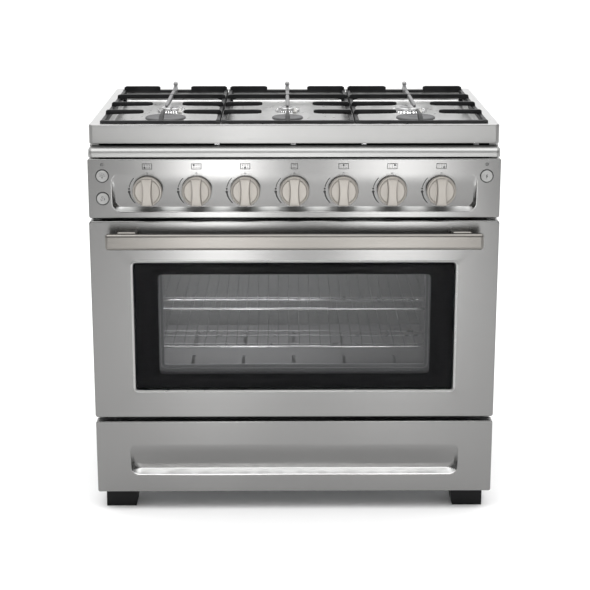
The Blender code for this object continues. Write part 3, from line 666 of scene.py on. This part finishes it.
class Pocket:
    """A pressed recess that starts level at its top edge and is deepest along its lower edge."""

    def __init__(self, front, half, z, depth, corner, ledge):
        self.front, self.half, self.z = front, half, z
        self.depth, self.corner, self.ledge = depth, corner, ledge
        self.floor_low = z[0] + ledge

    def floor(self, height):
        """Depth of the sloping floor: a soft start, then straight down to the ledge."""
        share = max(0.0, min(1.0, (self.z[1] - height) / (self.z[1] - self.floor_low)))
        soft = 0.35
        run = share * share / (2 * soft) if share < soft else share - soft / 2
        return self.front + self.depth * run / (1 - soft / 2)

    def wall(self, height, lip_depth, blend):
        """Depth on the way from the lip to the floor, as blend goes from 0 to 1."""
        drop = self.floor(height) - self.front
        return self.front + lip_depth * (1 - blend) * min(1.0, drop / lip_depth) + drop * blend

    def rings(self, lip, sides):
        """Rings from the flat front over the lip, down the ledge and on to the floor."""
        top_share, side_share, corner_share, top_gap, curve = 0.4, 0.75, 0.3, 0.0006, 0.85
        made = []
        for k in range(5):
            angle = math.radians(90 * k / 4)
            out, sink = lip * (1 - math.sin(angle)), lip * (1 - math.cos(angle)) / 2
            span = (self.z[0] - out, self.z[1] + out * top_share)
            made.append(upright(self.half + out, span, self.corner + out,
                                lambda height, s=sink: min(self.front + s, self.floor(height)), sides))
        for share in (0.25, 0.5, 0.75, 0.9, 1.0):
            inset = self.ledge * share
            made.append(upright(self.half - inset * side_share, (self.z[0] + inset, self.z[1] - top_gap),
                                self.corner - inset * corner_share,
                                lambda height, b=share ** curve: self.wall(height, lip / 2, b), sides))
        return made


def recessed_front(name, node, body, pocket, lip, shelf_highlight_material):
    """Pressed steel front with a recess; its ledge is brighter than the rest, a lighter copy of the steel that
    paints the highlight where the ledge faces up.
    """
    (_, y0, z0), (x1, y1, z1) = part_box(node)
    sides, corner, edge_corner = 12, 0.004, 0.0045
    rings = [upright(x1, (z0, z1), corner, y1, sides)]
    for inset, drop in rounding(0.002):
        rings.append(upright(x1 - inset, (z0 + inset, z1 - inset), edge_corner - inset, y0 + drop, sides))
    first = len(rings) + 2
    rings += pocket.rings(lip, sides)
    last = len(rings) - 1
    sheet_piece(name, rings, STEEL, body, [node], second=shelf_highlight_material,
                bright=lambda band, height: first <= band < last and height < pocket.floor_low)


def panel_pocket():
    """The recess that holds the seven knobs."""
    return Pocket(PANEL_LOW[1], half=0.397, z=(PANEL_LOW[2] + 0.015, PANEL_LOW[2] + 0.100),
                  depth=0.0118, corner=0.020, ledge=0.0078)


def control_panel():
    recessed_front("panel_front", "control_panel", "range", panel_pocket(), lip=0.0025, shelf_highlight_material=PANEL_SHELF_HIGHLIGHT)


def centre_of(name):
    """X and Z of the middle of a round piece on the panel, and its radius."""
    low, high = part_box(name)
    return (low[0] + high[0]) / 2, (low[2] + high[2]) / 2, (high[0] - low[0]) / 2


def knob(name):
    """Turned skirt with a waisted grip bar across it."""
    x, z, radius = centre_of(name)
    back, face, chamfer = PANEL_LOW[1] - 0.001, 0.0135, 0.0015
    profile = [(0, face - 0.0025), (radius * 0.80, face - 0.0020), (radius - 0.004, face),
               (radius - 0.002, face - 0.0004), (radius - 0.0006, face - 0.0018), (radius, face - 0.004),
               (radius, 0.0035), (radius - chamfer, 0.0025), (radius - chamfer, 0), (0, 0)]
    skirt = placed(sharpen(lathe("skirt", profile, 96), 30), (x, back, z), True)
    add(f"skirt_{name}", skirt, KNOB, name, [name])
    grip = add(f"grip_{name}", placed(grip_mesh(radius), (x, back, z), True), KNOB, name)
    bevelled(grip, 0.0018, 3, 30)


def grip_mesh(radius):
    """Bar across the knob, narrower in the middle, with ends that follow the skirt."""
    bm = bmesh.new()
    steps, base, top, end_drop = 16, 0.009, 0.0255, 0.0012
    waist, widening, flare, reach = 0.0088, 0.0030, 0.0016, radius - 0.0012
    sections = []
    for k in range(steps + 1):
        share = -1 + 2 * k / steps
        half = waist + widening * share * share
        along = share * math.sqrt(reach * reach - half * half)
        crown = top - end_drop * abs(share) ** 3
        corners = ((half + flare, along, base), (half, along, crown), (-half, along, crown),
                   (-half - flare, along, base))
        sections.append([bm.verts.new(corner) for corner in corners])
    bridge(bm, sections)
    bmesh.ops.recalc_face_normals(bm, faces=bm.faces)
    return mesh_from(bm, "grip")


def button(name):
    """Push button with a dished face, a raised rim, a dark surround and its sign."""
    x, z, radius = centre_of(name)
    panel, dish, skirt = PANEL_LOW[1], 0.0022, -0.007
    profile = [(0, dish), (radius * 0.70, dish), (radius * 0.76, 0.0026), (radius * 0.82, 0.0038),
               (radius - 0.0012, 0.0040), (radius - 0.0003, 0.0034), (radius, 0.0024), (radius, skirt),
               (0, skirt)]
    cap = placed(sharpen(lathe("button", profile, 64), 30), (x, panel, z), True)
    add(f"cap_{name}", cap, BUTTON, name, [name])
    inner, outer, sunk = radius + 0.0006, radius + 0.0022, -0.0004
    surround = [(inner, 0.0009), (radius + 0.0016, 0.0010), (outer, 0.0003), (outer, sunk), (inner, sunk),
                (inner, 0.0009)]
    add(f"bezel_{name}", placed(lathe("bezel", surround, 64), (x, panel, z), True), BLACK, "range")
    marks = {"button_light": lamp_mark, "button_fan": fan_mark, "button_ignition": spark_mark}[name]
    printed(f"mark_{name}", marks(x, z), panel - dish - 0.0001, name)


def printed(name, shapes, depth, body):
    """Thin print that follows a surface; depth is a number or a function of the height."""
    surface = depth if callable(depth) else (lambda height: depth)
    thickness = 0.00012
    bm = bmesh.new()
    for shape in shapes:
        for corners in shape:
            bm.faces.new([bm.verts.new((u, surface(v) - thickness, v)) for u, v in corners])
    bmesh.ops.remove_doubles(bm, verts=bm.verts, dist=0.00001)
    return add(name, mesh_from(bm, name, False), INK, body)


def stroke(x, z, radius, start, end, width, steps=14):
    """Curved stroke as a strip of faces; width is a number or a function of the share along it."""
    across = width if callable(width) else (lambda share: width)
    pairs = []
    for k in range(steps + 1):
        share = k / steps
        angle = math.radians(start + (end - start) * share)
        pairs.append([(x + r * math.cos(angle), z + r * math.sin(angle))
                      for r in (radius - across(share) / 2, radius + across(share) / 2)])
    return [(a[0], a[1], b[1], b[0]) for a, b in zip(pairs, pairs[1:])]


def disc(x, z, radius, steps=16):
    return [[(x + radius * math.cos(2 * math.pi * k / steps), z + radius * math.sin(2 * math.pi * k / steps))
             for k in range(steps)]]


def rectangle(x, z, width, height):
    return [[(x - width / 2, z - height / 2), (x + width / 2, z - height / 2),
             (x + width / 2, z + height / 2), (x - width / 2, z + height / 2)]]


def frame_lines(x, z, width, height, line):
    return [rectangle(x, z + side * height / 2, width + line, line)[0] for side in (-1, 1)] + \
           [rectangle(x + side * width / 2, z, line, height - line)[0] for side in (-1, 1)]


def lamp_mark(x, z):
    """Lamp: a ring with five rays and a base."""
    centre = z + 0.0005
    rays = [stroke(x, centre, 0.0056, angle - 8, angle + 8, 0.0016, 2) for angle in range(0, 181, 45)]
    return rays + [stroke(x, centre, 0.0026, 0, 360, 0.0009, 20), rectangle(x, z - 0.0038, 0.0028, 0.0014)]


def fan_mark(x, z):
    """Fan: three curved blades round a hub."""
    away, blades = 0.0026, []
    for angle in (90, 210, 330):
        turn = math.radians(angle)
        blades.append(stroke(x + away * math.cos(turn), z + away * math.sin(turn), 0.0021,
                             angle - 80, angle + 100, lambda share: 0.0006 + 0.0012 * share, 10))
    return blades + [disc(x, z, 0.0009)]


def spark_mark(x, z):
    upper = [(x + 0.0012, z + 0.0056), (x - 0.0026, z - 0.0006), (x + 0.0006, z - 0.0002)]
    lower = [(x - 0.0012, z - 0.0056), (x + 0.0026, z + 0.0006), (x - 0.0006, z + 0.0002)]
    return [[upper, lower]]


def hob_sign(x, z, chosen):
    """Outline of the hob with its six burners; the chosen one is larger."""
    pitch_x, pitch_z = 0.0056, 0.0050
    cells = []
    for column in (-1, 0, 1):
        for row in (0, 1):
            size = 0.0021 if (column, row) == chosen else 0.0009
            cells.append(disc(x + column * pitch_x, z + (row - 0.5) * pitch_z, size))
    return [frame_lines(x, z, 0.0205, 0.0115, 0.0013)] + cells


def oven_sign(x, z):
    """Outline of an oven with a line at its top and its bottom."""
    lines = [rectangle(x, z + side * 0.0030, 0.0085, 0.0009) for side in (-1, 1)]
    return [frame_lines(x, z, 0.0140, 0.0115, 0.0013)] + lines


BURNER_OF_KNOB = {"knob_1": (-1, 0), "knob_2": (-1, 1), "knob_3": (0, 0), "knob_4": (0, 1), "knob_5": (1, 1),
                  "knob_6": (1, 0)}
SIGN_HEIGHT, LAMP_HEIGHT = 0.1150, 0.1190


def panel_marks():
    """Printed signs: a plan over each knob, a flame scale beside it and a lamp dot over the buttons."""
    face, pocket, sign_z = PANEL_LOW[1], panel_pocket(), PANEL_LOW[2] + SIGN_HEIGHT
    for name in KNOBS:
        x, z, radius = centre_of(name)
        burner = BURNER_OF_KNOB.get(name)
        sign = hob_sign(x, sign_z, burner) if burner else oven_sign(x, sign_z)
        printed(f"sign_{name}", sign, face, "range")
        reach, dot_out = radius + 0.0082, 0.0034
        scale = [stroke(x, z + radius + 0.0060, 0.0017, 0, 360, 0.0007, 16),
                 stroke(x, z, reach, 136, 170, 0.0016),
                 disc(x - reach, z + dot_out, 0.0022),
                 disc(x - reach, z - dot_out, 0.0030),
                 stroke(x, z, reach, 188, 226, lambda share: 0.0034 - 0.0016 * share)]
        printed(f"scale_{name}", scale, pocket.floor, "range")
    lamp_z = PANEL_LOW[2] + LAMP_HEIGHT
    for side, node in (("left", "button_light"), ("right", "button_ignition")):
        x = centre_of(node)[0]
        lamp = [stroke(x, lamp_z, 0.0030, 0, 360, 0.0012, 20), disc(x, lamp_z, 0.0012)]
        printed(f"dot_{side}", lamp, face, "range")


def trim():
    """Strip with a rounded upper edge and rounded ends."""
    (x0, y0, z0), (_, y1, z1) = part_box("trim_strip")
    edge, radius, steps, corner, end_steps = 0.0008, 0.012, 10, 0.010, 6
    section = [(y0 + edge, z0), (y0, z0 + edge)]
    for k in range(steps + 1):
        turn = math.radians(90 * k / steps)
        section.append((y0 + radius * (1 - math.cos(turn)), z1 - radius * (1 - math.sin(turn))))
    section.append((y1, z1))
    stations = []
    for k in range(end_steps + 1):
        turn = math.radians(90 * k / end_steps)
        stations.append((x0 + corner * (1 - math.cos(turn)), corner * (1 - math.sin(turn))))
    stations += [(-x, back) for x, back in reversed(stations)]
    bm = bmesh.new()
    rows = []
    for x, back in stations:
        row = []
        for y, z in section:
            moved_back = back if y < y1 else 0
            lowered = back / 2 if z > z0 + 0.002 else 0
            row.append(bm.verts.new((x, y + moved_back, z - lowered)))
        rows.append(row)
    for a, b in zip(rows, rows[1:]):
        for i in range(len(a) - 1):
            bm.faces.new((a[i], b[i], b[i + 1], a[i + 1]))
    bmesh.ops.recalc_face_normals(bm, faces=bm.faces)
    obj = add("trim_cover", mesh_from(bm, "trim"), TRIM, "range", ["trim_strip"])
    thickened(obj, 0.0012)
    return weighted(obj)


# Door

def door():
    """Pressed outer skin with a bead round the glass."""
    (_, y0, z0), (half, y1, z1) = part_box("door_skin")
    front, corner, bead, height, gap = y0 + 0.0018, 0.0065, 0.0066, 0.0013, 0.0010
    glass_low, glass_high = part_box("door_glass")
    glass_half, glass_z = glass_high[0], (glass_low[2], glass_high[2])
    rings = [upright(half, (z0, z1), 0.006, y1)]
    for inset, drop in rounding(0.003):
        rings.append(upright(half - inset, (z0 + inset, z1 - inset), corner - inset, front + drop))
    bead_start = len(rings)
    for share in (1.0, 0.86, 0.72, 0.58, 0.44, 0.30):
        out = gap + (bead - gap) * share
        lift = height * math.sin(math.pi * (1.0 - share) / 0.62) if share > 0.38 else 0.0
        rings.append(upright(glass_half + out, grow(glass_z, out), 0.006 + out, front - lift))
    rings.append(upright(glass_half + gap, grow(glass_z, gap), 0.007, front + 0.0004))
    rings.append(upright(glass_half + 0.0006, grow(glass_z, 0.0006), 0.0066, front + 0.0052))
    skin = sheet_piece("door_outer", rings, STEEL, "door", ["door_skin"], closed=False,
                       bright=lambda band, height: band >= bead_start, second=BEAD)
    notch_for_hinges(skin.data, z0 + 0.020)
    door_glazing(glass_half, glass_z, glass_low[1])


def notch_for_hinges(mesh, top):
    """Opens the lower fold of the door skin where the hinge arms pass when the door is down."""
    room, arm_front = 0.002, 0.003
    for side in SIDES:
        low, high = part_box(f"door_hinge_{side}")
        left, right, front = low[0] - room, high[0] + room, low[1] - arm_front
        bm = bmesh.new()
        bm.from_mesh(mesh)
        across, along = (1, 0, 0), (0, 1, 0)
        for place, normal in (((left, 0, 0), across), ((right, 0, 0), across), ((0, front, 0), along)):
            everything = bm.verts[:] + bm.edges[:] + bm.faces[:]
            bmesh.ops.bisect_plane(bm, geom=everything, plane_co=place, plane_no=normal)
        gone = []
        for face in bm.faces:
            x, y, z = face.calc_center_median()
            if left < x < right and y > front and z < top:
                gone.append(face)
        bmesh.ops.delete(bm, geom=gone, context="FACES")
        bm.to_mesh(mesh)
        bm.free()


def door_glazing(half, z, front):
    """Outer pane with its printed border, and the frame of the inner window behind it."""
    thickness, gap, window_half, window_z = 0.0030, 0.0004, 0.303, (z[0] + 0.0365, z[1] - 0.0265)
    span = ((-half + gap, front, z[0] + gap), (half - gap, front + thickness, z[1] - gap))
    pane = add("pane_outer", boxes("pane", [span]), GLASS, "door", ["door_glass"])
    bevelled(pane, 0.0006, 2)
    print_y = front + thickness + 0.0002
    rings = [upright(half - 0.0006, grow(z, -0.0006), 0.008, print_y),
             upright(window_half, window_z, 0.010, print_y)]
    border = add("window_border", pressed("border", rings, closed=False), BORDER, "door")
    thickened(border, 0.0004)
    inner = front + 0.022
    edge_z = (window_z[0] + 0.0165, window_z[1] - 0.002)
    spacer = [upright(window_half + 0.010, grow(window_z, 0.010), 0.012, inner),
              upright(window_half - 0.0095, edge_z, 0.004, inner),
              upright(window_half - 0.0100, grow(edge_z, -0.0005), 0.004, inner + 0.002)]
    # The spacer's turned inner edge takes the lighter grey, a painted highlight.
    mesh = pressed("spacer", spacer, closed=False, bright=lambda band, height: band == 1)
    piece = add("window_spacer", mesh, SPACER, "door")
    piece.data.materials.append(SPACER_RIM_HIGHLIGHT)


def handle():
    """Flat bar on two posts, with rounded edges."""
    for name, node, edge in (("bar_cover", "handle_bar", 0.0068),
                             ("post_left", "handle_post_left", 0.005),
                             ("post_right", "handle_post_right", 0.005)):
        piece = add(name, boxes(name, [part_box(node)]), HANDLE, "door", [node])
        weighted(bevelled(piece, edge, 5))


def drawer():
    """Drawer front with a finger pocket."""
    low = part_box("drawer_front")[0]
    pocket = Pocket(low[1], half=0.372, z=(low[2] + 0.042, low[2] + 0.116), depth=0.0178, corner=0.020,
                    ledge=0.009)
    # The finger pocket's ledge takes a near-white copy of the steel: a painted highlight of the light from
    # above.
    recessed_front("drawer_cover", "drawer_front", "drawer", pocket, lip=0.003, shelf_highlight_material=DRAWER_SHELF_HIGHLIGHT)


# Oven

CROSS_WIRES = {"rack_upper": (0.066, 0.092), "rack_lower": (0.021, 0.087, 0.122)}


def rack(name):
    """Wire shelf: a rounded frame, a few wires from side to side and many from front to back."""
    (x0, y0, z0), (x1, y1, z1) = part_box(name)
    inset, corner, bays, lift = 0.0027, 0.020, 27, 0.001
    z, left, right, front, back = (z0 + z1) / 2, x0 + inset, x1 - inset, y0 + inset, y1 - inset
    frame_path = [(u, v, z) for u, v in ring((left, right), (front, back), corner, 6)]
    wires(f"frame_{name}", [(frame_path, True)], 0.0025, CHROME, name, [name])
    # Only the frame keeps the bright chrome; the cross wires and bars take darker copies of it as painted
    # shade.
    lines = [([(left, front + y, z), (right, front + y, z)], False) for y in CROSS_WIRES[name]]
    wires(f"cross_{name}", lines, 0.0018, RACK_CROSS_SHADE, name)
    places = [left + (right - left) * k / bays for k in range(1, bays)]
    bars = [([(x, front, z + lift), (x, back, z + lift)], False) for x in places]
    wires(f"bars_{name}", bars, 0.0010, RACK_BAR_SHADE, name, resolution=3)


def ladder(side):
    """Wire frame on the oven's side wall with a pair of wires round each rack."""
    node = f"rack_ladder_{side}"
    (x0, y0, z0), (x1, y1, z1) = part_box(node)
    radius, corner, upright_in = 0.0022, 0.012, 0.13
    below, above = 0.005, 0.007
    x, y_ends, z_ends = (x0 + x1) / 2, (y0 + radius, y1 - radius), (z0 + radius, z1 - radius)
    paths = [([(x, u, v) for u, v in ring(y_ends, z_ends, corner, 5)], True)]
    heights = []
    for rack_name in ("rack_lower", "rack_upper"):
        low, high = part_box(rack_name)
        heights += [low[2] - below, high[2] + above]
    for z in (*heights, 0.410, 0.505, 0.550):
        paths.append(([(x, y_ends[0], z), (x, y_ends[1], z)], False))
    for y in (y0 + upright_in, y1 - upright_in):
        paths.append(([(x, y, z_ends[0]), (x, y, z_ends[1])], False))
    wires(f"wires_{side}", paths, radius, CHROME, "range", [node])


def dress(node, material, bevel=0.0):
    """Gives a CAD node its material, and softer edges where they show."""
    obj = NODES[node]
    obj.data.materials.clear()
    obj.data.materials.append(material)
    if bevel:
        bevelled(obj, bevel, 2)


def gap_shade_sheet():
    """Black strip behind the trim, in the gap under the cooktop's rim: painted shade that darkens the gap."""
    gap, thickness = 0.0005, 0.0015
    y, (side_low, side_high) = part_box("trim_strip")[1][1] + gap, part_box("side_panel_right")
    span = ((-side_low[0], y, PANEL_HIGH[2] + gap), (side_low[0], y + thickness, side_high[2]))
    add("rim_gap_painted_shade", boxes("gap_shade_sheet", [span]), BLACK, "range")


def back_screws():
    """Pan-head screws round the edge of the back panel."""
    low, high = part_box("back_panel")
    inset, gaps = 0.012, 4
    bottom, top = low[2] + inset, high[2] - inset
    places = [(x, bottom + (top - bottom) * k / gaps) for x in (low[0] + inset, high[0] - inset)
              for k in range(gaps + 1)]
    places += [(x, z) for x in (-0.15, 0.15) for z in (bottom, top)]
    head = [(0, 0.0020), (0.0024, 0.0019), (0.0038, 0.0012), (0.0042, 0), (0, 0)]
    face_back = Matrix.Rotation(math.radians(-90), 4, "X")
    bm = bmesh.new()
    for x, z in places:
        one = lathe("head", head, 20)
        one.transform(Matrix.Translation((x, high[1], z)) @ face_back)
        bm.from_mesh(one)
    add("back_screws", mesh_from(bm, "screws"), CHROME, "range")


def oven_and_body():
    for node in ("oven_liner", "oven_floor", "door_inner_panel"):
        dress(node, OVEN)
    for node in ("back_panel", "base_pan", "drawer_box", "drawer_runner_left", "drawer_runner_right",
                 "door_hinge_left", "door_hinge_right"):
        dress(node, ZINC)
    for side in SIDES:
        dress(f"side_panel_{side}", STEEL_SIDE)
        for end in ROWS:
            dress(f"foot_{end}_{side}", BLACK, 0.002)
    dress("gas_manifold", BRASS)
    dress("oven_burner", ALUMINIUM)
    dress("oven_gasket", SEAL)
    dress("oven_lamp", LAMP)
    dress("door_inner_glass", INNER_GLASS)


# Camera, light and floor

CAMERA_PLACE = (-0.022, -3.5, 1.410)
PITCH, YAW, LENS, SHIFT = 14.26, -0.415, 91.85, -0.06
FRONT_SKY, BACK_SKY, TOP_SKY, SEEN_SKY = 0.11, 1.05, 1.9, 1.05
KEY_POWER, FILL_POWER, TOP_POWER, OVEN_POWER = 8.6, 7.0, 44.0, 1.25


def camera():
    data = bpy.data.cameras.new("camera")
    data.sensor_width = 36.0
    data.lens = LENS
    data.shift_y = SHIFT
    obj = bpy.data.objects.new("camera", data)
    obj.location = CAMERA_PLACE
    obj.rotation_euler = (math.radians(90 - PITCH), 0, math.radians(YAW))
    bpy.context.scene.collection.objects.link(obj)
    bpy.context.scene.camera = obj


def area_light(name, place, target, size, power):
    """White rectangular light that the camera does not see."""
    data = bpy.data.lights.new(name, "AREA")
    data.shape = "RECTANGLE"
    data.size, data.size_y = size
    data.energy = power
    obj = bpy.data.objects.new(name, data)
    obj.location = place
    aim = Vector(target) - Vector(place)
    obj.rotation_euler = aim.to_track_quat("-Z", "Y").to_euler()
    obj.visible_camera = False
    bpy.context.scene.collection.objects.link(obj)


def world():
    """White to look at; as light it is bright overhead and behind, and dim in front."""
    made = bpy.data.worlds.new("studio")
    made.use_nodes = True
    nodes, links = made.node_tree.nodes, made.node_tree.links
    background = fill(nodes["Background"], Color=(1.0, 1.0, 1.0, 1.0))

    def blend(value, low, high, start, end):
        step = nodes.new("ShaderNodeMapRange")
        step.interpolation_type = "SMOOTHSTEP"
        fill(step, From_Min=start, From_Max=end)
        for socket, given in (("Value", value), ("To Min", low), ("To Max", high)):
            if isinstance(given, float):
                step.inputs[socket].default_value = given
            else:
                links.new(given, step.inputs[socket])
        return step.outputs["Result"]

    direction = nodes.new("ShaderNodeSeparateXYZ")
    links.new(nodes.new("ShaderNodeTexCoord").outputs["Generated"], direction.inputs["Vector"])
    around = blend(direction.outputs["Y"], FRONT_SKY, BACK_SKY, -0.3, 0.3)
    light = blend(direction.outputs["Z"], around, TOP_SKY, 0.45, 0.85)
    path = nodes.new("ShaderNodeLightPath")
    strength = blend(path.outputs["Is Camera Ray"], light, SEEN_SKY, 0.0, 1.0)
    links.new(strength, background.inputs["Strength"])
    bpy.context.scene.world = made


def studio():
    """Soft light from narrow boxes in front, a wide one above and a small one in the oven."""
    world()
    view = bpy.context.scene.view_settings
    view.view_transform = "Standard"
    view.look = "None"
    area_light("key", place=(-0.27, -2.6, 0.50), target=(-0.24, 0, 0.45), size=(0.26, 0.9), power=KEY_POWER)
    area_light("fill", place=(0.40, -2.6, 0.50), target=(0.36, 0, 0.45), size=(0.34, 0.9), power=FILL_POWER)
    area_light("top", place=(0, -1.1, 3.4), target=(0, -0.5, 0), size=(3.5, 2.0), power=TOP_POWER)
    area_light("oven_light", place=(-0.13, -0.02, OVEN_LIGHT_Z), target=(-0.13, 0.02, 0.3),
               size=(0.42, 0.20), power=OVEN_POWER)
    floor()


def floor():
    """Wide pale floor."""
    bm = bmesh.new()
    bmesh.ops.create_grid(bm, x_segments=1, y_segments=1, size=30.0)
    mesh = mesh_from(bm, "floor", False)
    obj = bpy.data.objects.new("floor", mesh)
    bpy.context.scene.collection.objects.link(obj)
    white = Shader("floor_white", (0.93, 0.93, 0.93), 0.8, Specular_IOR_Level=0.1)
    white.vary(white.noise(2.0), (0.93, 0.93, 0.93), 0.995, 1.005)
    mesh.materials.append(white.material)


def build():
    camera()
    cooktop()
    burners()
    for column in GRATES:
        grate(column)
    control_panel()
    for name in KNOBS:
        knob(name)
    for name in BUTTONS:
        button(name)
    panel_marks()
    trim()
    door()
    handle()
    drawer()
    for name in ("rack_upper", "rack_lower"):
        rack(name)
    for side in SIDES:
        ladder(side)
    oven_and_body()
    gap_shade_sheet()
    back_screws()
    studio()


build()
